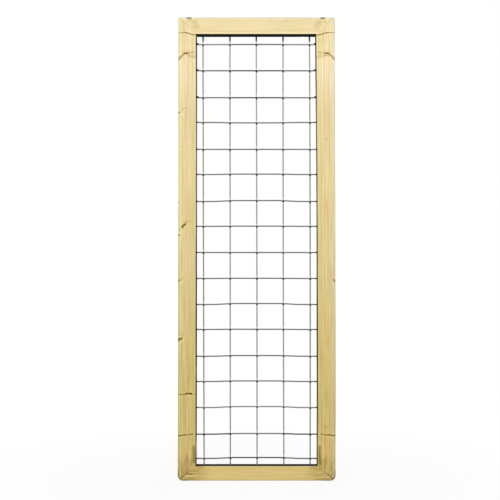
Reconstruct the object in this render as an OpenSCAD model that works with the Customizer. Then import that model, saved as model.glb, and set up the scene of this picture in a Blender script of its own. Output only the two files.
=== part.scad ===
// Wooden plant trellis panel: a mitred softwood frame with a welded wire mesh held in a groove.
// Millimetres, +Z up, front towards -Y, origin in the middle of the bottom edge.

/* [Panel] */
// Overall width
panel_w = 600; // [400:10:1200]
// Overall height
panel_h = 1770; // [900:10:2400]
// Thickness of the frame, front to back
frame_t = 45; // [38:1:70]

/* [Frame timber] */
// Face width of each stile
stile_w = 70; // [60:1:100]
// Face width of the top rail
top_rail_w = 65; // [55:1:100]
// Face width of the bottom rail
bottom_rail_w = 56; // [54:1:100]
// Rounding of the long edges
edge_r = 4; // [1:0.5:6]
// Rounding of the two upper outer corners
top_corner_r = 7; // [6:1:20]
// Rounding of the two lower outer corners
bottom_corner_r = 20; // [6:1:24]

/* [Wire mesh] */
// Diameter of the wires
wire_d = 5; // [3:0.5:6]
// Spacing of the upright wires
column_pitch = 102; // [40:1:150]
// Spacing of the cross wires
row_pitch = 99; // [60:1:150]
// Least space between the outer wires and the frame
least_margin = 20; // [10:1:30]
// Share of the spare height that lies above the top cross wire
top_margin_share = 0.65; // [0.3:0.05:0.7]

/* [Groove] */
// Length of each wire end that sits in the groove
wire_seat = 12; // [6:1:16]
// Play between a wire's end and the groove's floor
wire_end_play = 2; // [1:0.5:4]
// Play on each side of the mesh in the groove
groove_play = 0.3; // [0.1:0.1:1]
// Space between crossing wires, closed by the weld
weld_space = 0.1; // [0:0.05:0.3]

/* [Dowels] */
// Diameter of the dowels
dowel_d = 8; // [6:1:10]
// Length of the dowels
dowel_len = 40; // [24:1:40]
// Bevel on the dowels' ends
dowel_bevel = 1; // [0.5:0.25:2]
// Play at each end of a dowel
dowel_end_play = 1; // [0.5:0.25:2]

/* [Screws] */
// Diameter of the screws
screw_d = 5; // [4:0.5:6]
// Length of the screws
screw_len = 80; // [60:1:90]
// Diameter of the countersunk heads
screw_head_d = 10; // [8:0.5:12]
// How far the heads lie under the wood's surface
screw_sink = 0.6; // [0.2:0.1:2]
// Distance of the screws from the middle of the thickness
screw_offset = 12; // [10:0.5:14]
// Length of the pointed tip
screw_tip_len = 8; // [4:1:12]
// Width of each slot of the star drive
drive_w = 1.6; // [1:0.1:2]
// Reach of the star drive across the head
drive_reach = 5; // [3:0.5:6]
// Depth of the star drive
drive_depth = 2; // [1:0.25:3]

/* [Hidden] */
// Curves are drawn with this many sides
$fn = 64;
// How far every cut runs past the surface that it opens
overrun = 1;
// Play of a dowel or screw in its hole
hole_play = 0.1;
// Places of the dowels along the mitre, from the outer corner
dowel_shares = [0.42, 0.68];
// Place of the screws across the member that they enter
screw_place_share = 0.45;
// Flat end left on the screws' tips, as a share of the diameter
screw_tip_share = 0.1;
// Turns between the three slots that make the star drive
drive_turns = [0, 60, 120];

opening_w = panel_w - 2 * stile_w;
opening_h = panel_h - top_rail_w - bottom_rail_w;
groove_depth = wire_seat + wire_end_play;
groove_w = 2 * wire_d + weld_space + 2 * groove_play;
layer_y = (wire_d + weld_space) / 2;
columns = floor((opening_w - 2 * least_margin) / column_pitch) + 1;
rows = floor((opening_h - 2 * least_margin) / row_pitch) + 1;
spare_h = opening_h - (rows - 1) * row_pitch;
top_row_z = panel_h - top_rail_w - spare_h * top_margin_share;
first_column_x = -(columns - 1) * column_pitch / 2;

pine = [0.90, 0.81, 0.60];
zinc = [0.55, 0.56, 0.56];
beech = [0.80, 0.62, 0.42];
yellow_zinc = [0.78, 0.68, 0.42];

// Corner names with their side (-1 left, 1 right) and their end (false bottom, true top)
CORNERS = [
    ["top_left", -1, true],
    ["top_right", 1, true],
    ["bottom_left", -1, false],
    ["bottom_right", 1, false]
];

function rail_w(top) = top ? top_rail_w : bottom_rail_w;
function corner_r(top) = top ? top_corner_r : bottom_corner_r;

// Section of a frame member: outer edge at x = 0, grooved inner edge at x = width
module section(width) {
    flat_t = frame_t - 2 * edge_r;
    difference() {
        union() {
            translate([edge_r, -frame_t / 2]) square([width - 2 * edge_r, frame_t]);
            translate([0, -flat_t / 2]) square([width, flat_t]);
            for (x = [edge_r, width - edge_r])
                for (side = [-1, 1])
                    translate([x, side * flat_t / 2]) circle(r = edge_r);
        }
        translate([width - groove_depth, -groove_w / 2]) square([groove_depth + overrun, groove_w]);
    }
}

// Rounded outer corner of the panel, with the same edges as the members, for a corner at the origin
module corner_round(radius) {
    translate([radius, 0, radius])
        rotate([90, 0, 0])
            rotate(180)
                rotate_extrude(angle = 90)
                    translate([radius, 0])
                        mirror([1, 0])
                            intersection() {
                                section(stile_w);
                                translate([0, -frame_t / 2]) square([radius, frame_t]);
                            }
}

// Square block that a rounded corner stands in for
module corner_block(radius) {
    translate([-overrun, -frame_t / 2 - overrun, -overrun])
        cube([radius + overrun, frame_t + 2 * overrun, radius + overrun]);
}

// Children built for a corner at the origin, set at one of the panel's corners
module at_corner(side, top) {
    translate([side * panel_w / 2, 0, top ? panel_h : 0])
        mirror([side > 0 ? 1 : 0, 0, 0])
            mirror([0, 0, top ? 1 : 0])
                children();
}

// Prism through the whole thickness, from an outline in X and Z
module through(outline) {
    rotate([90, 0, 0])
        linear_extrude(height = frame_t + 2 * overrun, center = true)
            polygon(outline);
}

// Bar of a member with the panel's rounded corners at its two ends
module rounded_bar(ends) {
    difference() {
        children();
        for (end = ends) at_corner(end[0], end[1]) corner_block(corner_r(end[1]));
    }
    for (end = ends) at_corner(end[0], end[1]) corner_round(corner_r(end[1]));
}

// Upright member, outer edge at the left or right
module stile(side) {
    x = side * panel_w / 2;
    inner_x = side * opening_w / 2;
    ends = [[side, false], [side, true]];
    color(pine) difference() {
        intersection() {
            rounded_bar(ends)
                translate([x, 0, 0])
                    mirror([side > 0 ? 1 : 0, 0, 0])
                        linear_extrude(height = panel_h) section(stile_w);
            through([
                [x, 0], [inner_x, bottom_rail_w], [inner_x, panel_h - top_rail_w], [x, panel_h]
            ]);
        }
        for (end = ends) at_corner(end[0], end[1]) fixing_holes(rail_w(end[1]));
    }
}

// Level member at the top or the bottom
module rail(top) {
    width = rail_w(top);
    z = top ? panel_h : 0;
    inner_z = top ? panel_h - top_rail_w : bottom_rail_w;
    ends = [[-1, top], [1, top]];
    color(pine) difference() {
        intersection() {
            rounded_bar(ends)
                translate([panel_w / 2, 0, z])
                    mirror([0, 0, top ? 1 : 0])
                        rotate([0, -90, 0])
                            linear_extrude(height = panel_w) section(width);
            through([
                [-panel_w / 2, z], [panel_w / 2, z], [opening_w / 2, inner_z], [-opening_w / 2, inner_z]
            ]);
        }
        for (end = ends) at_corner(end[0], end[1]) fixing_holes(width);
    }
}

// Upright wire, counted from the left, standing on the bottom groove's floor
module upright_wire(i) {
    foot_z = bottom_rail_w - groove_depth;
    head_z = panel_h - top_rail_w + wire_seat;
    color(zinc)
        translate([first_column_x + (i - 1) * column_pitch, layer_y, foot_z])
            cylinder(d = wire_d, h = head_z - foot_z);
}

// Cross wire, counted from the top, welded to the front of the upright wires
module cross_wire(i) {
    color(zinc)
        translate([0, -layer_y, top_row_z - (i - 1) * row_pitch])
            rotate([0, 90, 0])
                cylinder(d = wire_d, h = opening_w + 2 * wire_seat, center = true);
}

// Children set square across the mitre of a corner at the origin, at a share of its length
module on_mitre(share, width) {
    translate([share * stile_w, 0, share * width])
        rotate([0, -atan2(width, stile_w), 0])
            children();
}

// Children set along the two screws of a corner at the origin, with +Z into the wood
module on_screws(width) {
    translate([screw_sink, -screw_offset, screw_place_share * width])
        rotate([0, 90, 0])
            children();
    translate([screw_place_share * stile_w, screw_offset, screw_sink])
        children();
}

// Dowel centred on the mitre, bevelled at both ends
module dowel() {
    cylinder(d = dowel_d, h = dowel_len - 2 * dowel_bevel, center = true);
    for (turn = [0, 180])
        rotate([turn, 0, 0])
            translate([0, 0, dowel_len / 2 - dowel_bevel])
                cylinder(d1 = dowel_d, d2 = dowel_d - 2 * dowel_bevel, h = dowel_bevel);
}

// Head, shank and tip of a screw, or of the hole for it when there is play
module screw_body(play) {
    head_h = (screw_head_d - screw_d) / 2;
    cylinder(d1 = screw_head_d + 2 * play, d2 = screw_d + 2 * play, h = head_h);
    cylinder(d = screw_d + 2 * play, h = screw_len - screw_tip_len);
    translate([0, 0, screw_len - screw_tip_len])
        cylinder(d1 = screw_d + 2 * play, d2 = screw_d * screw_tip_share + 2 * play, h = screw_tip_len + play);
}

// Countersunk screw with a star drive
module screw() {
    difference() {
        screw_body(0);
        for (turn = drive_turns)
            rotate(turn)
                translate([-drive_reach / 2, -drive_w / 2, -overrun])
                    cube([drive_reach, drive_w, drive_depth + overrun]);
    }
}

// Holes for the dowels and screws of a corner at the origin
module fixing_holes(width) {
    for (share = dowel_shares)
        on_mitre(share, width)
            cylinder(d = dowel_d + 2 * hole_play, h = dowel_len + 2 * dowel_end_play, center = true);
    on_screws(width) {
        screw_body(hole_play);
        translate([0, 0, -screw_sink - overrun])
            cylinder(d = screw_head_d + 2 * hole_play, h = screw_sink + overrun);
    }
}

// The two dowels of one corner
module corner_dowels(side, top) {
    color(beech)
        at_corner(side, top)
            for (share = dowel_shares) on_mitre(share, rail_w(top)) dowel();
}

// The two screws of one corner
module corner_screws(side, top) {
    color(yellow_zinc)
        at_corner(side, top)
            on_screws(rail_w(top)) screw();
}

stile(-1);  // left_stile
stile(1);  // right_stile
rail(true);  // top_rail
rail(false);  // bottom_rail
for (i = [1 : columns])
    upright_wire(i);
for (i = [1 : rows])
    cross_wire(i);
for (c = CORNERS)
    corner_dowels(c[1], c[2]);
for (c = CORNERS)
    corner_screws(c[1], c[2]);
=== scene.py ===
# Wooden plant trellis panel: a mitred pine frame with a welded wire mesh held in its groove.
# Metres, +Z up, front towards -Y, origin in the middle of the bottom edge. Marks are in millimetres.
import math
import random

import bmesh
import bpy
from mathutils import Matrix, Vector, noise


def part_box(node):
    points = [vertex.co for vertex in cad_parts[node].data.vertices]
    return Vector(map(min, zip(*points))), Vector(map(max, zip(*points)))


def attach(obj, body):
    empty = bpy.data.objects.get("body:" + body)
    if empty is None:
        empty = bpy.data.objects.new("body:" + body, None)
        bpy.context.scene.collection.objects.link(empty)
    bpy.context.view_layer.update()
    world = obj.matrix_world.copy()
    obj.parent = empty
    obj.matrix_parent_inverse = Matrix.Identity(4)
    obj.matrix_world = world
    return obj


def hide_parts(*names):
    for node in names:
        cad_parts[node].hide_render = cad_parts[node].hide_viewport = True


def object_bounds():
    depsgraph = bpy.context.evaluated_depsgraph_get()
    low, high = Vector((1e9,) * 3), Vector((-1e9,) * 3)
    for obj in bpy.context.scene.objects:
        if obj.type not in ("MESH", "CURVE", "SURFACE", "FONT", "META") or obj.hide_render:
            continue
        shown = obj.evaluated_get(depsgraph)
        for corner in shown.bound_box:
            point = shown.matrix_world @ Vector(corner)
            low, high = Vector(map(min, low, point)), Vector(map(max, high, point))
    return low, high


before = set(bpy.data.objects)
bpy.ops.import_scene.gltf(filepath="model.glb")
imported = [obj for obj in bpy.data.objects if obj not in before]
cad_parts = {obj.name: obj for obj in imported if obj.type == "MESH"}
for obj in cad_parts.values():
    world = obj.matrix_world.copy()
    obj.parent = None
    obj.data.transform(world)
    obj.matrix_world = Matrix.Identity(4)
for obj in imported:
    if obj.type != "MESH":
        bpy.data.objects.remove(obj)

MM = 0.001
X, Y, Z = range(3)
BODY = "root"
cad_low, cad_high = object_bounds()


def span(node, axis):
    low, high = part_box(node)
    return high[axis] - low[axis]


def middle(node):
    low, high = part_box(node)
    return (low + high) / 2


def count(prefix):
    return sum(1 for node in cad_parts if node.startswith(prefix))


# Sizes of the panel, read from the frame
PANEL_W = cad_high.x - cad_low.x
PANEL_H = cad_high.z - cad_low.z
FRAME_T = cad_high.y - cad_low.y
STILE_W = span("left_stile", X)
TOP_W = span("top_rail", Z)
BOTTOM_W = span("bottom_rail", Z)
WIRE_D = span("cross_wire_1", Z)
COLUMNS = count("upright_wire_")
ROWS = count("cross_wire_")
COLUMN_X = [middle(f"upright_wire_{i + 1}").x for i in range(COLUMNS)]
ROW_Z = [middle(f"cross_wire_{i + 1}").z for i in range(ROWS)]
OPENING_W = PANEL_W - 2 * STILE_W

# Sizes of the timber that its box does not show
EDGE_R = 4 * MM
CORNER_R = {"top": 7 * MM, "bottom": 20 * MM}
GROOVE_DEPTH = 14 * MM
GROOVE_W = 2 * WIRE_D + 0.7 * MM
END_EASE = 0.3 * MM
MITRE_GAP = {"top": 0.4 * MM, "bottom": 2.4 * MM}
MITRE_OPEN_SHARE = 0.62
BEND_START = 60 * MM
BEND_FULL = 300 * MM
TAPER_START_SHARE = 0.65
SLIVER = 0.1 * MM

# Relief of the timber's surface, and the knocks on its long edges
GRAIN_HEIGHT = 0.07 * MM
WAVE_HEIGHT = 0.22 * MM
MARK_DEPTH = 0.35 * MM
RELIEF_FADE = 8 * MM
KNOCK_SPACING = 110 * MM
KNOCK_MARGIN = 50 * MM
KNOCK_RADII = (4, 9)
KNOCK_DEPTHS = (0.25, 0.8)

# Holes for the fixings across the mitres
DOWEL_D = 8.2 * MM
DOWEL_HOLE_LEN = 42 * MM
DOWEL_SHARES = (0.42, 0.68)
SCREW_D = 5.2 * MM
SCREW_HEAD_D = 10.2 * MM
SCREW_LEN = 80 * MM
SCREW_TIP = 8 * MM
SCREW_TIP_SHARE = 0.1
SCREW_SINK = 0.6 * MM
SCREW_OVERRUN = 2 * MM
SCREW_OFFSET = 12 * MM
SCREW_PLACE_SHARE = 0.45

# Fineness of the meshes
SECTION_STEP = 3.6 * MM
ARC_STEPS = 6
RING_STEP = 7 * MM
FINE_STEP = 1.5 * MM
FINE_REACH = 70 * MM
DRILL_SIDES = 40
WIRE_SIDES = 16
WIRE_STEP = 6 * MM
WIRE_END = 0.4 * MM
WIRE_END_SHARE = 0.8
WELD_SEGMENTS = (14, 10)
SHARP_ANGLE = math.radians(38)


def clamp(value, low=0.0, high=1.0):
    return max(low, min(high, value))


def smooth(value, low, high):
    share = clamp((value - low) / (high - low))
    return share * share * (3 - 2 * share)


# Marks in the timber

class Mark:
    """A knot, spike or split with a width, a strength and (across, along) points, in millimetres.

    The strength is a share of the full colour, and a negative one makes a pale mark.
    """

    REACH_SHARE = 3

    def __init__(self, width, strength, *points):
        self.width = width
        self.strength = strength
        self.points = points
        reach = width * self.REACH_SHARE
        self.low = min(point[1] for point in points) - reach
        self.high = max(point[1] for point in points) + reach

    def stretches(self):
        ends = self.points[1:] or self.points
        return list(zip(self.points, ends))


STILE_MARKS = [
    Mark(2.8, 0.75, (3, 1710), (28, 1710)),
    Mark(3.8, 0.95, (26, 1710), (35, 1709)),
    Mark(3.4, 0.85, (35, 1709), (44, 1706), (54, 1702), (66, 1701)),
    Mark(14.0, 0.28, (24, 1632), (54, 1627)),
    Mark(7.0, 0.70, (1, 1607), (10, 1618)),
    Mark(4.0, 0.80, (10, 1618), (18, 1626), (26, 1631)),
    Mark(5.0, 1.00, (25, 1631), (35, 1631)),
    Mark(3.6, 0.50, (37, 1631), (50, 1635), (62, 1637)),
    Mark(5.0, 0.42, (36, 1624), (48, 1618), (66, 1615)),
    Mark(3.8, 0.90, (0, 171), (14, 172), (30, 174)),
    Mark(3.2, 0.75, (30, 174), (46, 174)),
    Mark(3.4, 0.80, (46, 175), (57, 178)),
]
LEFT_MARKS = [
    Mark(4.2, 0.85, (2, 1402), (5, 1404)),
    Mark(4.0, 0.28, (8, 1409), (20, 1418), (34, 1421)),
    Mark(5.0, -0.45, (13, 1402), (17, 1394)),
    Mark(2.2, 0.28, (32, 1410), (32, 1379)),
    Mark(4.0, 0.60, (2, 1271)),
    Mark(4.0, 0.55, (2, 1154)),
    Mark(4.4, 0.60, (2, 1058)),
    Mark(4.0, -0.40, (11, 1061), (12, 1056)),
    Mark(7.0, 0.95, (16, 965), (20, 971)),
    Mark(6.0, 0.95, (22, 971), (27, 976)),
    Mark(8.0, 0.40, (25, 985), (34, 984)),
    Mark(5.0, 0.18, (40, 986), (54, 986)),
    Mark(4.5, 0.42, (4, 953), (12, 963)),
    Mark(5.0, 0.78, (0, 931), (4, 934)),
    Mark(4.0, 0.70, (1, 758), (10, 764)),
    Mark(4.0, 0.45, (0, 752)),
    Mark(5.0, 0.25, (16, 768), (20, 774)),
    Mark(5.0, -0.40, (11, 755), (16, 750)),
    Mark(8.0, 0.98, (-1, 533), (4, 536)),
    Mark(6.0, 0.90, (4, 536), (13, 540)),
    Mark(5.0, -0.80, (13, 528), (18, 531)),
    Mark(3.2, 0.40, (2, 554), (12, 555)),
    Mark(4.0, 0.40, (2, 566)),
    Mark(3.4, 0.30, (19, 561), (20, 549)),
    Mark(2.6, 0.32, (39, 396), (39, 338)),
    Mark(3.2, 0.75, (3, 327), (10, 327), (28, 327)),
    Mark(5.2, 1.00, (31, 330), (40, 330), (52, 330)),
    Mark(3.0, 0.30, (54, 330), (63, 329)),
    Mark(3.0, -0.90, (33, 324), (44, 324)),
    Mark(9.0, 0.70, (61, 128), (61, 72)),
    Mark(5.0, 0.45, (35, 98), (36, 68)),
    Mark(5.0, 0.35, (50, 86), (51, 60)),
    Mark(5.0, 0.35, (16, 66), (16, 34)),
    Mark(4.5, 0.30, (28, 84), (28, 60)),
]
RIGHT_MARKS = [
    Mark(5.0, 0.50, (36, 1623), (24, 1622)),
    Mark(5.0, 0.25, (40, 1300), (30, 1299)),
    Mark(4.0, 0.50, (3, 1154)),
    Mark(4.4, 0.75, (3, 757), (9, 764)),
    Mark(4.0, 0.40, (0, 752)),
    Mark(5.0, -0.40, (10, 746), (16, 748)),
    # Painted shade on the outer arris
    Mark(3.4, 0.20, (0, 606), (0, 580)),
    Mark(4.5, 0.40, (32, 206), (43, 203)),
    Mark(2.2, 0.30, (23, 155), (23, 124)),
    Mark(9.0, 0.60, (61, 128), (60, 66)),
    Mark(6.0, 0.70, (62, 108), (58, 64)),
    Mark(4.0, 0.55, (35, 94), (36, 62)),
    Mark(4.0, 0.42, (43, 84), (43, 46)),
    Mark(4.5, 0.28, (17, 72), (17, 42)),
    Mark(4.5, 0.28, (48, 80), (48, 58)),
]
TOP_MARKS = [
    Mark(6.5, 1.00, (2, 35), (3, 46)),
    Mark(3.6, 0.55, (1, 26), (1, 36)),
    Mark(4.0, 0.55, (12, 36), (13, 38)),
    Mark(3.8, 0.50, (10, 47), (14, 48)),
    Mark(4.0, 0.30, (26, 36), (22, 32)),
    Mark(16.0, 0.30, (20, 60), (34, 68)),
    Mark(6.5, 1.00, (2, 548), (3, 558)),
    Mark(3.8, 0.50, (8, 543), (5, 550)),
    Mark(4.0, 0.55, (14, 560), (16, 561)),
    Mark(4.0, 0.30, (26, 566), (20, 568)),
    Mark(16.0, 0.30, (20, 540), (34, 532)),
]
BOTTOM_MARKS = [
    Mark(4.4, 0.65, (26, 45), (26, 54)),
    Mark(4.0, 0.50, (27, 547), (27, 556)),
    Mark(8.0, 0.32, (50, 74), (50, 98)),
    Mark(8.0, 0.32, (50, 526), (50, 504)),
    Mark(20.0, 0.18, (30, 80), (30, 104)),
    Mark(20.0, 0.18, (30, 520), (30, 496)),
    Mark(3.0, 0.28, (20, 540), (20, 546)),
    Mark(3.4, 0.22, (15, 74), (15, 82)),
    Mark(3.4, 0.18, (25, 186), (25, 232)),
    Mark(3.4, 0.18, (16, 392), (17, 420)),
]


# Frame timbers

class Member:
    """A frame timber with its own axes: along its run, across from its outer edge, depth from its middle.

    Its bend is how far it bows inwards, and up to which share of its length. Its taper is how much wider
    it gets along its last stretch, and its slant is how much wider it is at its back than at its front.
    """

    def __init__(self, node, corner, run, inward, width, length, ends, marks, looks, seed,
                 bend=(0, 1), taper=0, slant=0):
        self.node = node
        self.corner = Vector(corner)
        self.run = run
        self.inward = inward
        self.width = width
        self.length = length
        self.ends = ends
        self.marks = marks
        self.looks = looks
        self.seed = seed
        self.bend, self.bend_top = bend
        self.taper = taper
        self.slant = slant

    def point(self, along, across, depth):
        low, high, top = self.bend_stretch()
        bent = self.bend * smooth(along, low, high) * smooth(along, top, top - high)
        wider = self.taper * smooth(along, *self.taper_stretch()) * across / self.width
        inwards = self.inward * (across + bent + wider)
        return self.corner + self.run * along + inwards + Vector((0, depth, 0))

    def bend_stretch(self):
        """Places along the timber where its bend starts, is full, and ends."""
        return BEND_START, BEND_FULL, self.bend_top * self.length

    def taper_stretch(self):
        """Places along the timber where its taper starts and ends."""
        return TAPER_START_SHARE * self.length, self.length

    def limit(self, end, across):
        """How far from that end's corner the timber starts, on its side of the mitre."""
        place, met = self.ends[end]
        opening = MITRE_GAP[place] * (1 - across / (self.width * MITRE_OPEN_SHARE))
        stretch = math.hypot(met, self.width) / self.width
        return across * met / self.width + max(opening, 0) / 2 * stretch

    def along(self, across, share):
        start = self.limit(0, across)
        finish = self.length - self.limit(1, across)
        return start + (finish - start) * share


class Looks:
    """How one kind of timber is coloured: its bands, its pith, the painted shade on its inner edge and its
    damp ends.

    The pith lies at (across, depth) in millimetres and leans by a share of the length. The inner edge has
    painted shade on the last millimetres of the face, and on the inner wall from a depth on.
    """

    def __init__(self, tone, bands, pith, lean, ring_share, shaded_face, shade_depth, damp):
        self.tone = tone
        self.bands = bands
        self.pith = pith
        self.lean = lean
        self.ring_share = ring_share
        self.shaded_face = shaded_face
        self.shade_depth = shade_depth
        self.damp = damp


# Bands of colour across a timber, from its outer edge inwards: (share of the width, factors of the tone)
STILE_MIDDLE = [
    (0.40, (1.00, 0.99, 1.00)),
    (0.55, (1.01, 1.01, 1.01)),
    (0.60, (0.93, 0.93, 0.91)),
    (0.66, (1.07, 1.07, 1.10)),
    (0.75, (0.94, 0.95, 0.87)),
]
LEFT_BANDS = [
    (0.00, (0.82, 0.88, 0.96)),
    (0.06, (1.00, 1.09, 1.12)),
    (0.14, (1.02, 1.09, 1.06)),
    (0.20, (1.03, 1.01, 1.08)),
    (0.32, (1.02, 0.98, 1.07)),
    *STILE_MIDDLE,
    (0.86, (0.99, 1.00, 0.97)),
    (0.94, (1.01, 1.05, 1.07)),
]
RIGHT_BANDS = [
    (0.00, (0.86, 0.90, 1.08)),
    (0.08, (0.99, 1.05, 1.26)),
    (0.16, (1.05, 1.04, 1.13)),
    (0.32, (1.02, 0.99, 1.05)),
    *STILE_MIDDLE,
    (0.86, (1.00, 1.00, 0.98)),
    (0.94, (0.96, 1.04, 0.97)),
]
TOP_BANDS = [
    (0.00, (0.72, 0.82, 1.06)),
    (0.02, (0.78, 0.88, 1.14)),
    (0.05, (0.96, 1.07, 1.34)),
    (0.10, (0.94, 1.02, 1.20)),
    (0.18, (0.95, 1.00, 1.06)),
    (0.60, (1.03, 1.02, 1.01)),
    (0.72, (1.02, 1.01, 1.00)),
    (0.84, (0.93, 0.92, 0.90)),
    (0.93, (1.17, 1.22, 1.36)),
]
BOTTOM_BANDS = [
    (0.00, (0.90, 0.99, 1.30)),
    (0.10, (0.93, 0.97, 1.04)),
    (0.40, (0.96, 1.00, 1.04)),
    (0.62, (1.00, 0.96, 1.10)),
    (0.80, (0.93, 0.94, 0.92)),
    (0.88, (0.87, 0.92, 0.88)),
    (0.95, (0.98, 1.06, 1.40)),
]
# Each kind of timber gets painted shade on its inner edge, over the last millimetres of the face and on the
# inner wall
LEFT_LOOKS = Looks(tone=1.0, bands=LEFT_BANDS, pith=(30, 52), lean=0.020, ring_share=0.46,
                   shaded_face=3.0, shade_depth=0.0, damp=0.90)
RIGHT_LOOKS = Looks(tone=1.0, bands=RIGHT_BANDS, pith=(30, 52), lean=0.020, ring_share=0.46,
                    shaded_face=2.1, shade_depth=0.0, damp=1.0)
TOP_LOOKS = Looks(tone=0.98, bands=TOP_BANDS, pith=(26, 62), lean=0.035, ring_share=0.20,
                  shaded_face=0.5, shade_depth=1.4, damp=0.0)
BOTTOM_LOOKS = Looks(tone=1.20, bands=BOTTOM_BANDS, pith=(20, 66), lean=-0.03, ring_share=0.24,
                     shaded_face=0.6, shade_depth=1.5, damp=0.95)

UP, DOWN = Vector((0, 0, 1)), Vector((0, 0, -1))
RIGHT, LEFT = Vector((1, 0, 0)), Vector((-1, 0, 0))
BACK = Vector((0, 1, 0))
BOTTOM_LEFT = (cad_low.x, 0, cad_low.z)
BOTTOM_RIGHT = (cad_high.x, 0, cad_low.z)
TOP_LEFT = (cad_low.x, 0, cad_high.z)
STILE_ENDS = (("bottom", BOTTOM_W), ("top", TOP_W))
TOP_ENDS = (("top", STILE_W), ("top", STILE_W))
BOTTOM_ENDS = (("bottom", STILE_W), ("bottom", STILE_W))
LEFT_BEND = (0.5 * MM, 0.96)
RIGHT_BEND = (-1.0 * MM, 0.72)
RIGHT_TAPER = 3.4 * MM
TOP_SLANT = 2.2 * MM
MEMBERS = [
    Member("left_stile", BOTTOM_LEFT, UP, RIGHT, STILE_W, PANEL_H, STILE_ENDS,
           STILE_MARKS + LEFT_MARKS, LEFT_LOOKS, seed=3, bend=LEFT_BEND),
    Member("right_stile", BOTTOM_RIGHT, UP, LEFT, STILE_W, PANEL_H, STILE_ENDS,
           STILE_MARKS + RIGHT_MARKS, RIGHT_LOOKS, seed=8, bend=RIGHT_BEND, taper=RIGHT_TAPER),
    Member("top_rail", TOP_LEFT, RIGHT, DOWN, TOP_W, PANEL_W, TOP_ENDS,
           TOP_MARKS, TOP_LOOKS, seed=15, slant=TOP_SLANT),
    Member("bottom_rail", BOTTOM_LEFT, RIGHT, UP, BOTTOM_W, PANEL_W, BOTTOM_ENDS,
           BOTTOM_MARKS, BOTTOM_LOOKS, seed=21),
]


def arc(across, depth, start):
    """Quarter circle of the eased edges, as (across, depth) points."""
    turns = [start + math.pi / 2 * i / ARC_STEPS for i in range(ARC_STEPS + 1)]
    return [(across + EDGE_R * math.cos(t), depth + EDGE_R * math.sin(t)) for t in turns]


def section(width, slant):
    """Outline of a timber's section, with its groove and its slanted inner face, in small steps."""
    half = FRAME_T / 2
    inset = half - EDGE_R
    floor = width - GROOVE_DEPTH
    lip = GROOVE_W / 2
    keys = arc(EDGE_R, -inset, math.pi)
    keys += arc(width - EDGE_R, -inset, 1.5 * math.pi)
    keys += [(width, -lip), (floor, -lip), (floor, lip), (width, lip)]
    keys += arc(width - EDGE_R, inset, 0)
    keys += arc(EDGE_R, inset, 0.5 * math.pi)
    keys = [(across + slant * (0.5 + depth / FRAME_T) * across / width, depth) for across, depth in keys]
    outline = []
    for first, second in zip(keys, keys[1:] + keys[:1]):
        steps = max(1, math.ceil(math.dist(first, second) / SECTION_STEP))
        for i in range(steps):
            share = i / steps
            outline.append(tuple(p + (q - p) * share for p, q in zip(first, second)))
    return outline


def outward(outline):
    """Outward direction at each point of a section's outline."""
    found = []
    for i, (across, depth) in enumerate(outline):
        before = outline[i - 1]
        after = outline[(i + 1) % len(outline)]
        way = Vector((after[1] - before[1], before[0] - after[0]))
        found.append(way.normalized())
    return found


def stations(member):
    """Shares of the timber's length at which it gets a ring, closer at the ends and at its marks."""
    length = member.along(member.width / 2, 1) - member.along(member.width / 2, 0)
    offset = member.along(member.width / 2, 0)
    focus = [p[1] * MM - offset for mark in member.marks for p in mark.points]
    places = [0, END_EASE]
    while places[-1] < length - END_EASE - FINE_STEP:
        here = places[-1]
        near = min(here, length - here)
        step = FINE_STEP + (RING_STEP - FINE_STEP) * clamp(near / FINE_REACH)
        for f in focus:
            step = min(step, max(FINE_STEP, abs(f - here) / 3))
        places.append(here + step)
    places[-1] = length - END_EASE
    places.append(length)
    return [p / length for p in places]


def to_mark(mark, across, along):
    """Distance in millimetres from a place on the timber to a mark."""
    best = math.inf
    here = Vector((across, along))
    for first, second in mark.stretches():
        start = Vector(first)
        way = Vector(second) - start
        share = clamp((here - start).dot(way) / max(way.length_squared, 1e-9))
        best = min(best, (here - start - way * share).length)
    return best


def edge_knocks(member):
    """Knocks along the long edges: (along, across, depth, radius, how deep), in metres."""
    rng = random.Random(member.seed)
    knocks = []
    for _ in range(int(member.length / KNOCK_SPACING)):
        along = rng.uniform(KNOCK_MARGIN, member.length - KNOCK_MARGIN)
        across = rng.choice((0, member.width))
        depth = rng.choice((-1, 1)) * FRAME_T / 2
        radius = rng.uniform(*KNOCK_RADII) * MM
        knocks.append((along, across, depth, radius, rng.uniform(*KNOCK_DEPTHS) * MM))
    return knocks


def relief(member, knocks, along, across, depth):
    """How far the surface stands out from the planed section: grain, waves, knocks and splits."""
    seat = Vector((0, 0, member.seed))
    grain = noise.noise(Vector((along * 9, across * 260, depth * 260)) + seat)
    wave = noise.noise(Vector((along * 2.2, across * 18, depth * 18)) + seat)
    height = GRAIN_HEIGHT * grain + WAVE_HEIGHT * wave
    for place, side, face, radius, deep in knocks:
        gap = (along - place) ** 2 / 4 + (across - side) ** 2 + (depth - face) ** 2
        height -= deep * math.exp(-gap / radius ** 2)
    if depth < EDGE_R - FRAME_T / 2:
        near = [mark for mark in member.marks if mark.low < along / MM < mark.high]
        for mark in near:
            gap = to_mark(mark, across / MM, along / MM) / mark.width
            height -= MARK_DEPTH * max(mark.strength, 0) * math.exp(-gap * gap)
    return height


def round_corners(place):
    """Moves a point of the square panel onto the panel with rounded outer corners."""
    from_side = PANEL_W / 2 - abs(place.x)
    upper = place.z > PANEL_H / 2
    from_end = PANEL_H - place.z if upper else place.z
    radius = CORNER_R["top" if upper else "bottom"]
    reach = Vector((radius - from_side, radius - from_end))
    if min(reach) <= 0:
        return place
    reach *= max(reach) / reach.length
    x = math.copysign(PANEL_W / 2 - radius + reach.x, place.x)
    z = PANEL_H - radius + reach.y if upper else radius - reach.y
    return Vector((x, place.y, z))


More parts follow.
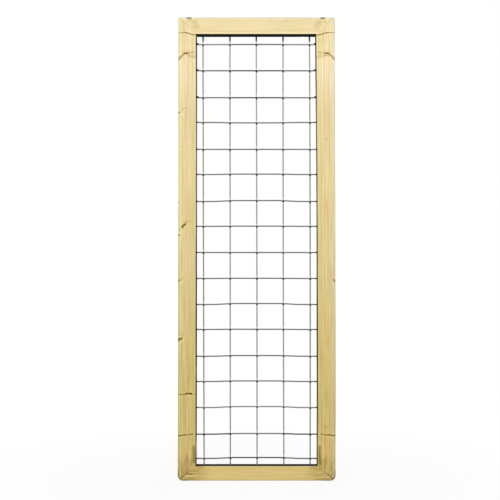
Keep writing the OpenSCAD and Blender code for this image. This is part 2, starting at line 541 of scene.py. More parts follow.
def loft(member):
    """Points and faces of a timber, ring by ring from mitre to mitre."""
    outline = section(member.width, member.slant)
    ways = outward(outline)
    shares = stations(member)
    knocks = edge_knocks(member)
    points = []
    for share in shares:
        for (across, depth), way in zip(outline, ways):
            along = member.along(across, share)
            from_end = min(along - member.along(across, 0), member.along(across, 1) - along)
            in_groove = abs(depth) < GROOVE_W / 2 + SLIVER and across > member.width - GROOVE_DEPTH - MM
            lift = 0
            if not in_groove:
                lift = relief(member, knocks, along, across, depth) * smooth(from_end, 0, RELIEF_FADE)
                lift -= END_EASE * (1 - clamp(from_end / END_EASE))
            place = round_corners(member.point(along, across, depth))
            points.append(place + member.inward * way.x * lift + Vector((0, way.y * lift, 0)))
    sides = len(outline)
    faces = []
    for ring in range(len(shares) - 1):
        for i in range(sides):
            j = (i + 1) % sides
            low, high = ring * sides, (ring + 1) * sides
            faces.append((low + i, low + j, high + j, high + i))
    last = (len(shares) - 1) * sides
    caps = [tuple(range(sides))[::-1], tuple(range(last, last + sides))]
    return points, faces + caps


def finish_mesh(bm, name):
    bmesh.ops.recalc_face_normals(bm, faces=bm.faces)
    mesh = bpy.data.meshes.new(name)
    bm.to_mesh(mesh)
    bm.free()
    mesh.shade_smooth()
    mesh.set_sharp_from_angle(angle=SHARP_ANGLE)
    return mesh


def add_object(name, mesh):
    made = bpy.data.objects.new(name, mesh)
    bpy.context.scene.collection.objects.link(made)
    return made


def circle(centre, first, second, radius, sides):
    """Points of a circle in the plane of two directions."""
    turns = [2 * math.pi * i / sides for i in range(sides)]
    return [centre + (first * math.cos(t) + second * math.sin(t)) * radius for t in turns]


def skin(bm, rings):
    """Closed mesh over rings of points that follow one another."""
    rings = [[bm.verts.new(point) for point in ring] for ring in rings]
    sides = len(rings[0])
    for low, high in zip(rings, rings[1:]):
        for i in range(sides):
            j = (i + 1) % sides
            bm.faces.new((low[i], low[j], high[j], high[i]))
    bm.faces.new(rings[0][::-1])
    bm.faces.new(rings[-1])


def lathe(bm, profile, sides, seat):
    """Closed turned solid from (radius, height) pairs, set in place by a matrix."""
    rings = [circle(UP * height, RIGHT, BACK, radius, sides) for radius, height in profile]
    skin(bm, [[seat @ point for point in ring] for ring in rings])


SCREW_HOLE = [
    (SCREW_HEAD_D / 2, -SCREW_SINK - SCREW_OVERRUN),
    (SCREW_HEAD_D / 2, 0),
    (SCREW_D / 2, (SCREW_HEAD_D - SCREW_D) / 2),
    (SCREW_D / 2, SCREW_LEN - SCREW_TIP),
    (SCREW_D * SCREW_TIP_SHARE, SCREW_LEN + SLIVER),
]
DOWEL_HOLE = [(DOWEL_D / 2, -DOWEL_HOLE_LEN / 2), (DOWEL_D / 2, DOWEL_HOLE_LEN / 2)]


def seat_along(place, way):
    return Matrix.Translation(place) @ way.to_track_quat("Z", "Y").to_matrix().to_4x4()


def fixing_holes(side, upper):
    """Seats of the holes of one corner: (profile, matrix) for two screws and two dowels."""
    width = TOP_W if upper else BOTTOM_W
    inward = RIGHT * -side
    lengthwise = DOWN if upper else UP
    corner = Vector((side * PANEL_W / 2, 0, PANEL_H if upper else 0))
    behind = BACK * SCREW_OFFSET
    on_stile = corner - behind + inward * SCREW_SINK + lengthwise * SCREW_PLACE_SHARE * width
    on_rail = corner + behind + lengthwise * SCREW_SINK + inward * SCREW_PLACE_SHARE * STILE_W
    seats = [(SCREW_HOLE, on_stile, inward), (SCREW_HOLE, on_rail, lengthwise)]
    square = inward * -width + lengthwise * STILE_W
    for share in DOWEL_SHARES:
        on_mitre = corner + inward * STILE_W * share + lengthwise * width * share
        seats.append((DOWEL_HOLE, on_mitre, square))
    return [(profile, seat_along(place, way)) for profile, place, way in seats]


def split_flats(bm):
    """Splits the many-sided faces of a timber's mitres into well-shaped triangles."""
    flats = [face for face in bm.faces if len(face.verts) > 4]
    bmesh.ops.triangulate(bm, faces=flats, ngon_method="BEAUTY")


def drill(piece, corners, material):
    """Cuts the fixing holes of the named corners out of a timber."""
    bm = bmesh.new()
    for side, upper in corners:
        for profile, seat in fixing_holes(side, upper):
            lathe(bm, profile, DRILL_SIDES, seat)
    drills = add_object("drills", finish_mesh(bm, "drills"))
    drills.data.materials.append(material)
    cut = piece.modifiers.new("holes", "BOOLEAN")
    cut.operation = "DIFFERENCE"
    cut.solver = "EXACT"
    cut.object = drills
    bpy.context.view_layer.update()
    evaluated = piece.evaluated_get(bpy.context.evaluated_depsgraph_get())
    drilled = bpy.data.meshes.new_from_object(evaluated)
    bm = bmesh.new()
    bm.from_mesh(drilled)
    split_flats(bm)
    bm.to_mesh(drilled)
    bm.free()
    piece.modifiers.clear()
    piece.data = drilled
    bpy.data.objects.remove(drills)


CORNERS_OF = {
    "left_stile": ((-1, False), (-1, True)),
    "right_stile": ((1, False), (1, True)),
    "top_rail": ((-1, True), (1, True)),
    "bottom_rail": ((-1, False), (1, False)),
}


def make_member(member):
    points, faces = loft(member)
    mesh = bpy.data.meshes.new(member.node + "_loft")
    mesh.from_pydata(points, [], faces)
    bm = bmesh.new()
    bm.from_mesh(mesh)
    split_flats(bm)
    piece = add_object(member.node + "_timber", finish_mesh(bm, member.node + "_timber"))
    material = pine(member)
    piece.data.materials.append(material)
    drill(piece, CORNERS_OF[member.node], material)
    piece.data.set_sharp_from_angle(angle=SHARP_ANGLE)
    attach(piece, BODY)
    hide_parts(member.node)


# Materials

class Field:
    """A value in a material's node tree that can be used in sums."""

    def __init__(self, paint, socket):
        self.paint = paint
        self.socket = socket

    def __add__(self, other):
        return self.paint.math("ADD", self, other)

    def __sub__(self, other):
        return self.paint.math("SUBTRACT", self, other)

    def __mul__(self, other):
        return self.paint.math("MULTIPLY", self, other)

    def __truediv__(self, other):
        return self.paint.math("DIVIDE", self, other)

    def __rsub__(self, other):
        return self.paint.math("SUBTRACT", other, self)

    def __abs__(self):
        return self.paint.math("ABSOLUTE", self)

    __radd__ = __add__
    __rmul__ = __mul__


class Paint:
    """The node tree of a material or of the world, with short calls for its nodes."""

    def __init__(self, owner, shader="Principled BSDF", **constants):
        owner.use_nodes = True
        self.owner = owner
        self.tree = owner.node_tree
        self.shader = self.tree.nodes[shader]
        for socket, value in constants.items():
            self.shader.inputs[socket.replace("_", " ")].default_value = value

    def feed(self, socket, value):
        if isinstance(value, Field):
            self.tree.links.new(value.socket, socket)
        else:
            socket.default_value = value

    def node(self, kind, inputs, **settings):
        made = self.tree.nodes.new("ShaderNode" + kind)
        for key, value in settings.items():
            setattr(made, key, value)
        for key, value in inputs.items():
            self.feed(made.inputs[key], value)
        return made

    def math(self, operation, *values):
        made = self.node("Math", dict(enumerate(values)), operation=operation)
        return Field(self, made.outputs[0])

    def most(self, fields):
        """The largest of several fields."""
        largest = fields[0]
        for field in fields[1:]:
            largest = self.math("MAXIMUM", largest, field)
        return largest

    def vector(self, operation, *values):
        made = self.node("VectorMath", dict(enumerate(values)), operation=operation)
        scalar = operation in ("DOT_PRODUCT", "LENGTH")
        return Field(self, made.outputs["Value" if scalar else "Vector"])

    def place(self):
        """Object coordinates, which are the panel's own in metres."""
        return Field(self, self.node("TexCoord", {}).outputs["Object"])

    def axis(self, vector, axis):
        return Field(self, self.node("SeparateXYZ", {0: vector}).outputs[axis])

    def join(self, *values):
        return Field(self, self.node("CombineXYZ", dict(enumerate(values))).outputs[0])

    def noise(self, where, scale=1.0, detail=2.0):
        made = self.node("TexNoise", {"Vector": where, "Scale": scale, "Detail": detail})
        return Field(self, made.outputs[0])

    def cells(self, where, scale):
        made = self.node("TexVoronoi", {"Vector": where, "Scale": scale})
        return Field(self, made.outputs["Color"])

    def smooth(self, value, low, high):
        """Rises softly from 0 to 1 between two values, or falls where the first is the higher."""
        inputs = {0: value, 1: low, 2: high, 3: 0.0, 4: 1.0}
        if low > high:
            inputs = {0: value, 1: high, 2: low, 3: 1.0, 4: 0.0}
        made = self.node("MapRange", inputs, interpolation_type="SMOOTHSTEP", clamp=False)
        return Field(self, made.outputs[0])

    def ramp(self, value, stops):
        made = self.node("ValToRGB", {0: value})
        line = made.color_ramp
        while len(line.elements) < len(stops):
            line.elements.new(0.5)
        for element, (position, colour) in zip(line.elements, stops):
            element.position = position
            element.color = (*colour, 1)
        return Field(self, made.outputs[0])

    def mix(self, share, first, second, blend="MIX"):
        colours = [c if isinstance(c, Field) else (*c, 1) for c in (first, second)]
        inputs = {0: share, 6: colours[0], 7: colours[1]}
        made = self.node("Mix", inputs, data_type="RGBA", blend_type=blend)
        return Field(self, made.outputs[2])

    def tint(self, colour, share, factors):
        return self.mix(share, colour, factors, "MULTIPLY")

    def done(self, colour, roughness, height, depth):
        """The finished material, with a bump of that depth."""
        self.feed(self.shader.inputs["Base Color"], colour)
        self.feed(self.shader.inputs["Roughness"], roughness)
        bump = self.node("Bump", {"Height": height, "Distance": depth, "Strength": 1.0})
        self.tree.links.new(bump.outputs[0], self.shader.inputs["Normal"])
        return self.owner


def new_paint(name, **constants):
    return Paint(bpy.data.materials.new(name), **constants)


# Tone of the planed timber by height: paler at the top and yellower towards the ground, partly the timber's
# own colour and partly painted light that falls off from the top downwards
TONE_AND_LIGHT_BY_HEIGHT = [
    (0.00, (0.74, 0.575, 0.222)),
    (0.20, (0.76, 0.600, 0.236)),
    (0.43, (0.81, 0.660, 0.310)),
    (0.66, (0.87, 0.715, 0.360)),
    (0.80, (0.86, 0.710, 0.385)),
    (0.89, (0.92, 0.775, 0.475)),
    (0.95, (0.88, 0.735, 0.415)),
]
LINE_AND_SHADE_BROWN = (0.135, 0.085, 0.022)
PALE_TINT = (1.30, 1.32, 1.38)
SHADE_TINT = (0.68, 0.62, 0.40)
CORE_TINT = (0.22, 0.18, 0.10)
# Colour of the painted shade on the stiles' inner edges, by height
SHADE_BY_HEIGHT = [
    (0.035, (0.070, 0.052, 0.022)),
    (0.07, (0.230, 0.180, 0.095)),
    (0.12, (0.085, 0.064, 0.027)),
    (0.28, (0.010, 0.006, 0.001)),
    (0.41, (0.030, 0.020, 0.008)),
    (0.57, (0.200, 0.165, 0.110)),
    (0.78, (0.240, 0.195, 0.105)),
    (0.91, (0.100, 0.085, 0.042)),
]
SHADE_BLACK = (0.006, 0.004, 0.001)
SHADE_BROWN = (0.040, 0.027, 0.005)
LATE_WOOD = (0.90, 0.84, 0.70)
FIBRE_TINT = (0.86, 0.80, 0.66)
DARK_STREAK = (0.89, 0.85, 0.75)
PALE_STREAK = (1.08, 1.08, 1.13)
PINK_CLOUD = (1.00, 0.955, 0.97)
GREEN_CLOUD = (0.985, 1.025, 0.96)
DAMP_TINT = (0.66, 0.58, 0.46)
RING_PITCH = 4.6
ZINC_BLACK = (0.010, 0.009, 0.008)
PALE_ZINC = (0.68, 0.68, 0.69)
UPRIGHT_GREY = 0.32
CROSS_GREY = 0.23
PINE_BUMP = 0.25 * MM
ZINC_BUMP = 0.1 * MM
SHADOW_BLACK_BUMP = 0.2 * MM
BEECH_BUMP = 0.2 * MM
SCREW_BUMP = 0.08 * MM


class Spot:
    """Where a point of a timber lies: along it, across it and behind its front in mm, and its height."""

    def __init__(self, paint, member):
        place = paint.place()
        offset = paint.vector("SUBTRACT", place, member.corner)
        self.along = paint.vector("DOT_PRODUCT", offset, member.run) / MM
        self.across = paint.vector("DOT_PRODUCT", offset, member.inward) / MM
        self.depth = paint.axis(place, Y) / MM + FRAME_T / MM / 2
        self.height = paint.axis(place, Z) / PANEL_H
        if member.bend:
            low, high, top = (stretch / MM for stretch in member.bend_stretch())
            bent = paint.smooth(self.along, low, high) * paint.smooth(self.along, top, top - high)
            self.across = self.across - bent * (member.bend / MM)
        if member.taper:
            low, high = (stretch / MM for stretch in member.taper_stretch())
            wider = paint.smooth(self.along, low, high) * (member.taper / member.width)
            self.across = self.across / (1 + wider)
        self.paint = paint
        self.seed = member.seed * 10.0

    def noise(self, along, across, detail):
        """Noise that is stretched along the timber, by its scales along it and across it."""
        paint = self.paint
        where = paint.join(self.along * along, self.across * across, self.depth * across + self.seed)
        return paint.noise(where, 1.0, detail)

    def run(self, end, member):
        """Distance along the timber from one of its ends."""
        return self.along if end == 0 else member.length / MM - self.along


def mark_distance(paint, where, mark):
    """Distance in millimetres from a point of the timber to a mark's line."""
    nearest = None
    for first, second in mark.stretches():
        way = Vector((second[0] - first[0], second[1] - first[1], 0))
        offset = paint.vector("SUBTRACT", where, (*first, 0))
        if way.length > 0:
            share = paint.vector("DOT_PRODUCT", offset, way / way.length_squared)
            share = paint.math("MINIMUM", paint.math("MAXIMUM", share, 0.0), 1.0)
            reached = paint.vector("MULTIPLY", paint.join(share, share, 0.0), way)
            offset = paint.vector("SUBTRACT", offset, reached)
        length = paint.vector("LENGTH", offset)
        nearest = length if nearest is None else paint.math("MINIMUM", nearest, length)
    return nearest


def timber_marks(paint, spot, marks, fibre):
    """Shares of brown shade, dark core and paler wood beside them, from a timber's marks one by one."""
    wobble = (spot.noise(0.12, 0.12, 2.0) - 0.5) * 3
    where = paint.join(spot.across, spot.along + wobble - spot.depth * 0.35, 0.0)
    ragged = (fibre - 0.5) * 0.9
    shade = core = pale = 0.0
    for mark in marks:
        distance = mark_distance(paint, where, mark) / mark.width + ragged
        if mark.strength < 0:
            glint = paint.smooth(distance, 1.2, 0.3) * -mark.strength
            pale = paint.math("MAXIMUM", pale, glint)
            continue
        brown = paint.smooth(distance, 1.4, 0.3) * mark.strength
        dark = paint.smooth(distance, 0.70, 0.25) * mark.strength ** 2
        halo = paint.smooth(distance, 3.4, 1.5) * mark.strength * 0.22
        shade = paint.math("MAXIMUM", shade, brown)
        core = paint.math("MAXIMUM", core, dark)
        pale = paint.math("MAXIMUM", pale, halo)
    fade = paint.smooth(spot.depth, 75.0, 4.0)
    return shade * fade, core * fade, pale * fade


def late_wood(paint, spot, member, bend):
    """Share of dark late wood, in rings of uneven strength round a pith that leans along the timber."""
    across, depth = member.looks.pith
    wander = (paint.noise(paint.join(spot.along * 0.0022, spot.seed, 0.0)) - 0.5) * 14
    lean = (spot.along - member.length / MM / 2) * member.looks.lean
    offset = paint.join(spot.across - across + wander, spot.depth - depth + lean, 0.0)
    turns = paint.vector("LENGTH", offset) / RING_PITCH + bend
    ring = paint.math("FRACT", turns)
    count = paint.math("FLOOR", turns)
    strength = paint.noise(paint.join(count * 0.71, spot.seed, spot.along * 0.0015), 1.0, 0.0)
    late = paint.smooth(ring, 0.30, 0.88) * paint.smooth(ring, 1.0, 0.92)
    return late * paint.smooth(strength, 0.25, 0.75)


def board_colour(paint, spot, member, late, fibre, streak):
    """Colour of the clean wood: its tone with painted light falling off downwards, bands, rings, fibres and
    clouds of pink and green.
    """
    looks = member.looks
    cloud = spot.noise(0.010, 0.022, 1.0)
    # Partly painted light: paler at the top, darker lower down
    colour = paint.ramp(spot.height, TONE_AND_LIGHT_BY_HEIGHT)
    sway = (paint.noise(paint.join(spot.along * 0.003, spot.seed, 4.0)) - 0.5) * 5
    bands = paint.ramp((spot.across + sway) / (member.width / MM), looks.bands)
    colour = paint.tint(colour, 0.78 - spot.height * 0.25 + spot.noise(0.005, 0.03, 0.0) * 0.6, bands)
    colour = paint.tint(colour, 1.0, (looks.tone,) * 3)
    colour = paint.tint(colour, late * looks.ring_share, LATE_WOOD)
    colour = paint.tint(colour, paint.smooth(fibre, 0.45, 0.75) * 0.36, FIBRE_TINT)
    colour = paint.tint(colour, paint.smooth(streak, 0.50, 0.68) * looks.ring_share * 2.0, DARK_STREAK)
    colour = paint.tint(colour, paint.smooth(streak, 0.51, 0.34) * looks.ring_share * 2.4, PALE_STREAK)
    colour = paint.tint(colour, paint.smooth(cloud, 0.50, 0.72) * 0.7, PINK_CLOUD)
    return paint.tint(colour, paint.smooth(cloud, 0.50, 0.28) * 0.7, GREEN_CLOUD)


def damp_ends(paint, spot, member, fibre):
    """Share of grey-brown in the fibres near the ground."""
    soaked = spot.noise(0.012, 0.16, 2.0)
    near = paint.smooth(spot.height * (PANEL_H / MM), 120.0, 20.0)
    if member.run.x:
        near = paint.most([paint.smooth(spot.run(end, member), 120.0, 50.0) for end in (0, 1)])
    return near * paint.smooth(soaked + fibre * 0.4, 0.50, 0.80) * member.looks.damp


def joint_lines_and_corner_shade(paint, spot, member):
    """Share of dark end grain along the mitres, more where a joint stands open, and of painted shade on the
    rims of the rounded bottom corners.
    """
    lines_and_shade = []
    radius = CORNER_R["bottom"] / MM
    for end, (place, met) in enumerate(member.ends):
        slope = met / member.width
        off = (spot.run(end, member) - spot.across * slope) / math.hypot(1, slope)
        line = paint.smooth(off, 1.6, 0.4)
        if place == "top":
            lines_and_shade.append(line * 0.12)
            continue
        opened = paint.smooth(spot.across, member.width / MM * 0.75, member.width / MM * 0.5)
        lines_and_shade.append(line * (0.04 + opened * 0.85))
        # Painted shade on the rim of the rounded bottom corner
        beside = paint.math("MAXIMUM", radius - spot.across, 0.0)
        before = paint.math("MAXIMUM", radius - spot.run(end, member), 0.0)
        out = paint.vector("LENGTH", paint.join(beside, before, 0.0))
        corner_shade = paint.smooth(out, radius - 6.5, radius - 2.0)
        lines_and_shade.append(corner_shade * paint.smooth(spot.run(end, member), 60.0, 25.0) * 0.75)
    return paint.most(lines_and_shade)


def inner_shade(paint, spot, member, fibre):
    """Share and colour of the painted shade on the inner edge and in the groove behind it."""
    looks = member.looks
    width = member.width / MM
    floor = width - GROOVE_DEPTH / MM
    half_depth = FRAME_T / MM / 2
    half_groove = GROOVE_W / MM / 2
    lip = half_depth - half_groove
    ragged = spot.across + (fibre - 0.5) * 1.2
    wall = paint.smooth(ragged, width - looks.shaded_face - 0.5, width - looks.shaded_face + 0.2)
    if looks.shade_depth:
        wall = wall * paint.smooth(spot.depth, looks.shade_depth - 0.8, looks.shade_depth + 0.8)
    groove = paint.smooth(spot.across, floor - 1.0, floor - 0.4)
    groove = groove * paint.smooth(abs(spot.depth - half_depth), half_groove + 0.5, half_groove)
    if member.run.z:
        colour = paint.ramp(spot.height, SHADE_BY_HEIGHT)
        # Painted shade, black where each cross wire enters the stile
        nearest = to_cross_wire(paint, spot.along * MM, OPENING_W / 2)
        colour = paint.mix(paint.smooth(nearest, 5.0 * MM, 2.0 * MM), colour, SHADE_BLACK)
    else:
        colour = paint.mix(paint.smooth(spot.depth, lip - 3, lip), SHADE_BROWN, SHADE_BLACK)
    return paint.most([wall, groove]), colour


def pine(member):
    """Planed pine that follows one timber: growth rings, fibres, marks, damp ends, a painted light falloff
    by height, and painted shade on its inner edge and rounded bottom corners.
    """
    paint = new_paint(member.node + "_pine", Specular_IOR_Level=0.1)
    spot = Spot(paint, member)
    fibre = spot.noise(0.020, 1.1, 3.0)
    streak = spot.noise(0.0055, 0.16, 2.0)
    shade, core, pale = timber_marks(paint, spot, member.marks, fibre)
    late = late_wood(paint, spot, member, shade * 0.8 + pale * 0.5)
    damp = damp_ends(paint, spot, member, fibre)
    lines_and_shade = joint_lines_and_corner_shade(paint, spot, member)
    shaded, shade_colour = inner_shade(paint, spot, member, fibre)

    colour = board_colour(paint, spot, member, late, fibre, streak)
    colour = paint.tint(colour, damp, DAMP_TINT)
    colour = paint.tint(colour, pale, PALE_TINT)
    colour = paint.tint(colour, shade * (0.8 + fibre * 0.4), SHADE_TINT)
    colour = paint.tint(colour, core * (0.8 + fibre * 0.4), CORE_TINT)
    # Dark mitre lines, and painted shade on the rounded bottom corners
    colour = paint.mix(lines_and_shade, colour, LINE_AND_SHADE_BROWN)
    # Painted shade on the inner edge and in the groove
    colour = paint.mix(shaded, colour, shade_colour)

    roughness = 0.60 + fibre * 0.16 + shaded * 0.20
    bump = fibre * 0.6 + late * 0.5 - core * 1.5
    return paint.done(colour, roughness, bump, PINE_BUMP)


def to_cross_wire(paint, z, x):
    """Distance in metres from a height to the nearest cross wire, at a place across the panel."""
    stops = []
    for row in reversed(range(ROWS)):
        level = 0.5 + cross_shift(row, x) / DRIFT_RANGE
        stops.append((ROW_Z[row] / PANEL_H, (level,) * 3))
    drift = paint.ramp(z / PANEL_H, stops)
    pitch = ROW_Z[0] - ROW_Z[1]
    even = z - (drift - 0.5) * DRIFT_RANGE - ROW_Z[-1]
    return abs(paint.math("WRAP", even, pitch / 2, -pitch / 2))


def zinc(paint, place, grey):
    """Dull spangled zinc: its colour and its cloudiness."""
    spangle = paint.axis(paint.cells(place, 900.0), X)
    cloud = paint.noise(place, 60.0, 3.0)
    colour = paint.mix(cloud * 0.7 + spangle * 0.3, (grey * 0.75,) * 3, (grey * 1.25,) * 3)
    return colour, cloud


def upright_zinc(column):
    """Zinc of an upright wire: paler near each crossing, painted black just below each crossing as the
    cross wire's shadow, and on its top as the top rail's shadow.
    """
    paint = new_paint(f"upright_zinc_{column + 1}", Metallic=0.85)
    place = paint.place()
    z = paint.axis(place, Z)
    colour, cloud = zinc(paint, place, UPRIGHT_GREY)
    from_wire = to_cross_wire(paint, z, COLUMN_X[column])
    from_wire_shadow = to_cross_wire(paint, z + WELD_SHADOW_DROP, COLUMN_X[column])
    rail_shadow = paint.smooth(z, RAIL_SHADOW_FOOT - RAIL_SHADOW_EASE, RAIL_SHADOW_FOOT + RAIL_SHADOW_EASE)
    # Painted shadow of the cross wire, just below each crossing
    shadow_black = paint.smooth(from_wire_shadow + (cloud - 0.5) * 2 * MM, 4.6 * MM, 3.0 * MM)
    colour = paint.mix(paint.smooth(from_wire, 14 * MM, 8 * MM) * 0.6, colour, PALE_ZINC)
    # Painted shadows, black: the cross wire's just below each crossing and the top rail's on the upright's
    # top
    colour = paint.mix(paint.math("MAXIMUM", shadow_black, rail_shadow) * 0.95, colour, ZINC_BLACK)
    return paint.done(colour, 0.38 + cloud * 0.3, cloud, ZINC_BUMP)


def cross_zinc():
    """Zinc of the cross wires, some of them tarnished, and all dark where they enter the stiles."""
    paint = new_paint("cross_zinc", Metallic=0.85)
    place = paint.place()
    colour, cloud = zinc(paint, place, CROSS_GREY)
    from_middle = abs(paint.axis(place, X))
    levels = [TARNISH.get(row, PLAIN_TARNISH) for row in range(ROWS)]
    stops = [(ROW_Z[row] / PANEL_H, (*levels[row], 0)) for row in reversed(range(ROWS))]
    tarnish = paint.ramp(paint.axis(place, Z) / PANEL_H, stops)
    outside = paint.smooth(from_middle, COLUMN_X[-2] * 0.9, COLUMN_X[-2] * 1.1)
    tarnish = paint.axis(tarnish, X) * outside + paint.axis(tarnish, Y) * (1 - outside)
    shade = paint.smooth(OPENING_W / 2 - from_middle, 8 * MM, 4 * MM)
    colour = paint.mix(paint.math("MAXIMUM", shade, tarnish) * 0.95, colour, ZINC_BLACK)
    return paint.done(colour, 0.38 + cloud * 0.3, cloud, ZINC_BUMP)


def shadow_black_metal():
    """Black of the weld lumps, painted as the cross wires' shadows below the crossings, and of the lumps at
    the upper cross wires' ends, painted shade by the stiles.
    """
    paint = new_paint("shadow_black_metal", Specular_IOR_Level=0.2)
    cloud = paint.noise(paint.place(), 300.0, 2.0)
    colour = paint.mix(cloud, (0.006, 0.006, 0.006), (0.020, 0.018, 0.016))
    return paint.done(colour, 0.6 + cloud * 0.3, cloud, SHADOW_BLACK_BUMP)


def beech():
    paint = new_paint("dowel_beech", Specular_IOR_Level=0.3)
    place = paint.place()
    fibre = paint.noise(place, 700.0, 3.0)
    fleck = paint.noise(place, 1800.0, 1.0)
    colour = paint.mix(fibre, (0.46, 0.29, 0.15), (0.66, 0.46, 0.28))
    colour = paint.tint(colour, paint.smooth(fleck, 0.55, 0.7), (0.78, 0.70, 0.62))
    return paint.done(colour, 0.55 + fibre * 0.2, fibre, BEECH_BUMP)


def yellow_zinc():
    paint = new_paint("screw_zinc", Metallic=1.0)
    place = paint.place()
    cloud = paint.noise(place, 260.0, 3.0)
    scratch = paint.noise(place, 2400.0, 2.0)
    colour = paint.mix(cloud, (0.55, 0.40, 0.16), (0.80, 0.68, 0.38))
    colour = paint.tint(colour, paint.smooth(scratch, 0.58, 0.7), (0.55, 0.52, 0.48))
    return paint.done(colour, 0.26 + cloud * 0.25, scratch, SCREW_BUMP)


# Wires

# How far each cross wire, from the top, lies above its even place, and its middle stretch above that, in mm
ROW_SHIFTS = [
    (5.8, 0.5), (3.8, 0.0), (-1.2, 0.0), (2.2, -1.4), (-2.5, 0.0), (-0.2, 1.5),
    (-5.0, 3.7), (-1.4, 0.7), (-2.8, 0.0), (-3.4, 0.7), (-4.0, 3.6), (-0.8, 1.0),
    (-4.0, 2.8), (-1.4, 2.2), (-1.6, 3.7), (-4.2, 2.4), (2.6, 3.3),
]
# How far each upright wire, from the left, stands right of its place at its top, middle and foot, in mm
COLUMN_SHIFTS = [(-2.6, 0.0, 3.6), (-0.7, 0.4, 1.6), (-1.6, 1.0, 1.5), (0.3, 0.2, 2.4), (-0.4, 1.6, 0.2)]
DRIFT_RANGE = 40 * MM
# How far the cross wires are tarnished, by number from the top: their outer stretches and their middle
PLAIN_TARNISH = (0.35, 0.40)
TARNISH = {
    0: (0.05, 0.50), 1: (0.65, 1.0), 2: (0.45, 1.0),
    14: (0.0, 0.0), 15: (1.0, 0.3), 16: (0.45, 0.75),
}
WIRE_WANDER = 0.2 * MM
# Each upright's top is thickened and painted black as the top rail's shadow on it
RAIL_SHADOW_LEN = 23 * MM
RAIL_SHADOW_FOOT = PANEL_H - TOP_W - RAIL_SHADOW_LEN
RAIL_SHADOW_EASE = 2 * MM
SHADOW_SLEEVE_THICK = 0.6 * MM
SHADOW_BLACK_INDEX = 1
# Weld lumps sit below their crossings, black as the cross wires' painted shadow
WELD_SIZE = Vector((4.0, 4.0, 3.3)) * MM
WELD_SWELL = 0.16
WELD_SHADOW_DROP = 3.2 * MM
WELD_SET_BACK = -1.5 * MM
# Black lumps at the ends of the upper cross wires, painted shade where they enter the stiles
END_SHADE_ROWS = 3
END_SHADE_INSET = 3.2 * MM
END_SHADE_RISE = 3.0 * MM


def tube(bm, centres, radii, first, second):
    """Tube of rings that all lie in the plane of two directions, with closed ends."""
    ends = (radii[0] * WIRE_END_SHARE, radii[-1] * WIRE_END_SHARE)
    sizes = [ends[0], *radii[1:-1], ends[1]]
    skin(bm, [circle(centre, first, second, size, WIRE_SIDES) for centre, size in zip(centres, sizes)])


def wire_places(low, high):
    """Places along a wire, with a close pair at each cut end."""
    steps = math.ceil((high - low) / WIRE_STEP)
    inner = [low + (high - low) * i / steps for i in range(1, steps)]
    return [low, low + WIRE_END, *inner, high - WIRE_END, high]


def stray(seed, along):
    return noise.noise(Vector((along * 7, seed * 3.7, 0.5))) * WIRE_WANDER


def cross_shift(row, x):
    """How far a cross wire lies above its even place, at a place across the panel."""
    level, lift = ROW_SHIFTS[row]
    outer = smooth(abs(x), abs(COLUMN_X[1]) * 0.75, abs(COLUMN_X[0]) * 0.85)
    return (level + lift * (1 - outer)) * MM + stray(row + 20, x)


def upright_shift(column, z):
    """How far an upright wire stands to the right of its even place, at a height."""
    top, mid, foot = COLUMN_SHIFTS[column]
    rise = 2 * z / PANEL_H - 1
    bow = (top + foot) / 2 - mid
    return (mid + rise * (top - foot) / 2 + rise * rise * bow) * MM + stray(column, z)


def shadow_sleeve(z):
    """How much thicker an upright wire's top is, where it carries the top rail's painted shadow, at a
    height.
    """
    return SHADOW_SLEEVE_THICK * smooth(z, RAIL_SHADOW_FOOT - RAIL_SHADOW_EASE, RAIL_SHADOW_FOOT + RAIL_SHADOW_EASE)


def black_lump(bm, place, seed):
    """Black lump: a weld set below its crossing, painted black as the cross wire's shadow, and at an upper
    cross wire's end by a stile, as painted shade.
    """
    around, upwards = WELD_SEGMENTS
    lump = bmesh.ops.create_uvsphere(bm, u_segments=around, v_segments=upwards, radius=1.0)
    for vert in lump["verts"]:
        swell = 1 + WELD_SWELL * noise.noise(vert.co * 1.4 + Vector((seed, seed * 0.3, 0)))
        vert.co = place + vert.co * WELD_SIZE * swell
        for face in vert.link_faces:
            face.material_index = SHADOW_BLACK_INDEX


def make_upright(i, *materials):
    node = f"upright_wire_{i + 1}"
    low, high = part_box(node)
    centre = (low + high) / 2
    centres = [Vector((centre.x + upright_shift(i, z), centre.y, z)) for z in wire_places(low.z, high.z)]
    bm = bmesh.new()
    tube(bm, centres, [WIRE_D / 2 + shadow_sleeve(c.z) for c in centres], RIGHT, BACK)
    # Weld lumps below each crossing, black as the cross wire's painted shadow
    for row, level in enumerate(ROW_Z):
        z = level + cross_shift(row, centre.x) - WELD_SHADOW_DROP
        black_lump(bm, Vector((centre.x + upright_shift(i, z), WELD_SET_BACK, z)), i * 7 + row)
    make_wire(bm, node, materials)


def make_cross(i, *materials):
    node = f"cross_wire_{i + 1}"
    low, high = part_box(node)
    centre = (low + high) / 2
    centres = [Vector((x, centre.y, centre.z + cross_shift(i, x))) for x in wire_places(low.x, high.x)]
    bm = bmesh.new()
    tube(bm, centres, [WIRE_D / 2] * len(centres), BACK, UP)
    # Painted shade: black lumps where the upper cross wires enter the stiles
    if i < END_SHADE_ROWS:
        for side, stile in zip((-1, 1), MEMBERS):
            x = stile.point(centre.z, stile.width, 0).x - side * END_SHADE_INSET
            z = centre.z + cross_shift(i, x) + END_SHADE_RISE
            black_lump(bm, Vector((x, centre.y, z)), i * 5 + side)
    make_wire(bm, node, materials)


def make_wire(bm, node, materials):
    wire = add_object(node + "_drawn", finish_mesh(bm, node + "_drawn"))
    for material in materials:
        wire.data.materials.append(material)
    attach(wire, BODY)
    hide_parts(node)


def make_mesh():
    cross = cross_zinc()
    shadow_black = shadow_black_metal()
    for i in range(COLUMNS):
        make_upright(i, upright_zinc(i), shadow_black)
    for i in range(ROWS):
        make_cross(i, cross, shadow_black)


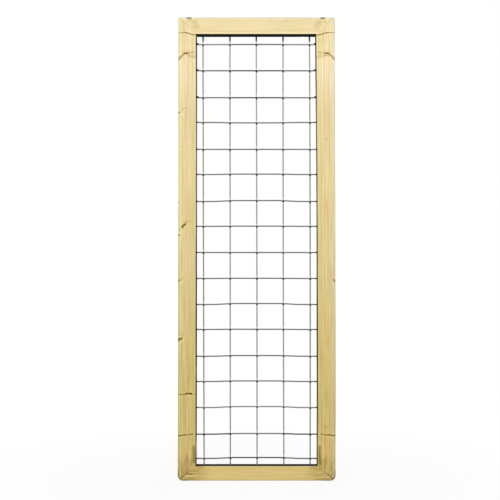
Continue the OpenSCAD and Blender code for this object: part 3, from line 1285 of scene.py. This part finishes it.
def dress_fixings():
    """New finishes on the screws and dowels, which keep their own shape."""
    finishes = {"_screws": yellow_zinc(), "_dowels": beech()}
    for name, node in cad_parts.items():
        for ending, material in finishes.items():
            if name.endswith(ending):
                node.data.materials.clear()
                node.data.materials.append(material)


# Stage, light and camera

FLOOR_SIZE = 16.0
FLOOR_GLOW = 0.88
FLOOR_FADE = (0.2, 1.5)
CAMERA_PLACE = Vector((-0.0254, -3.8625, 0.80))
CAMERA_PITCH = math.radians(1.15)
CAMERA_LENS = 72.47
WORLD_LEVEL = 0.55
KEY_POWER = 40.0
BACK_POWER = 14.0


def seen_directly(paint):
    """1 for rays from the camera, and for those that metal or glass sends on, else 0."""
    rays = paint.node("LightPath", {}).outputs
    kinds = ("Camera", "Glossy", "Transmission")
    return paint.most([Field(paint, rays[f"Is {kind} Ray"]) for kind in kinds])


def make_floor():
    mesh = bpy.data.meshes.new("floor")
    half = FLOOR_SIZE / 2
    corners = [(-half, -half, 0), (half, -half, 0), (half, half, 0), (-half, half, 0)]
    mesh.from_pydata(corners, [], [(0, 1, 2, 3)])
    floor = add_object("floor", mesh)
    paint = new_paint("floor_white")
    nodes = paint.tree.nodes
    place = paint.place()
    speckle = paint.noise(place, 40.0)
    white = paint.mix(speckle, (0.90, 0.90, 0.90), (0.93, 0.93, 0.93))
    matt = paint.node("BsdfDiffuse", {"Color": white})
    glow = paint.node("Emission", {"Color": (1, 1, 1, 1), "Strength": 1.0})
    far = paint.smooth(paint.vector("LENGTH", place), *FLOOR_FADE)
    share = seen_directly(paint) * (FLOOR_GLOW + far * (1 - FLOOR_GLOW))
    both = paint.node("MixShader", {0: share})
    paint.tree.links.new(matt.outputs[0], both.inputs[1])
    paint.tree.links.new(glow.outputs[0], both.inputs[2])
    paint.tree.links.new(both.outputs[0], nodes["Material Output"].inputs["Surface"])
    nodes.remove(paint.shader)
    mesh.materials.append(paint.owner)


def make_world():
    """White behind the panel, and a weaker even light on it."""
    world = bpy.data.worlds.new("studio")
    paint = Paint(world, "Background", Color=(1, 1, 1, 1))
    seen = seen_directly(paint)
    level = paint.node("MapRange", {"Value": seen, "To Min": WORLD_LEVEL, "To Max": 1.0})
    paint.tree.links.new(level.outputs[0], paint.shader.inputs["Strength"])
    bpy.context.scene.world = world


def area_lamp(name, place, target, size, power):
    data = bpy.data.lights.new(name, "AREA")
    data.size = size
    data.energy = power
    lamp = bpy.data.objects.new(name, data)
    lamp.location = place
    lamp.rotation_euler = (Vector(target) - Vector(place)).to_track_quat("-Z", "Y").to_euler()
    bpy.context.scene.collection.objects.link(lamp)


def make_lights():
    area_lamp("key", place=(0, -2.4, 2.9), target=(0, 0, 1.2), size=1.8, power=KEY_POWER)
    area_lamp("back", place=(0.6, 2.6, 2.4), target=(0, 0, 0.9), size=2.0, power=BACK_POWER)


def make_camera():
    data = bpy.data.cameras.new("camera")
    data.lens = CAMERA_LENS
    camera = bpy.data.objects.new("camera", data)
    camera.location = CAMERA_PLACE
    camera.rotation_euler = (math.pi / 2 + CAMERA_PITCH, 0, 0)
    bpy.context.scene.collection.objects.link(camera)
    bpy.context.scene.camera = camera


bpy.context.scene.view_settings.view_transform = "Standard"
make_camera()
make_lights()
make_world()
make_floor()
for member in MEMBERS:
    make_member(member)
make_mesh()
dress_fixings()
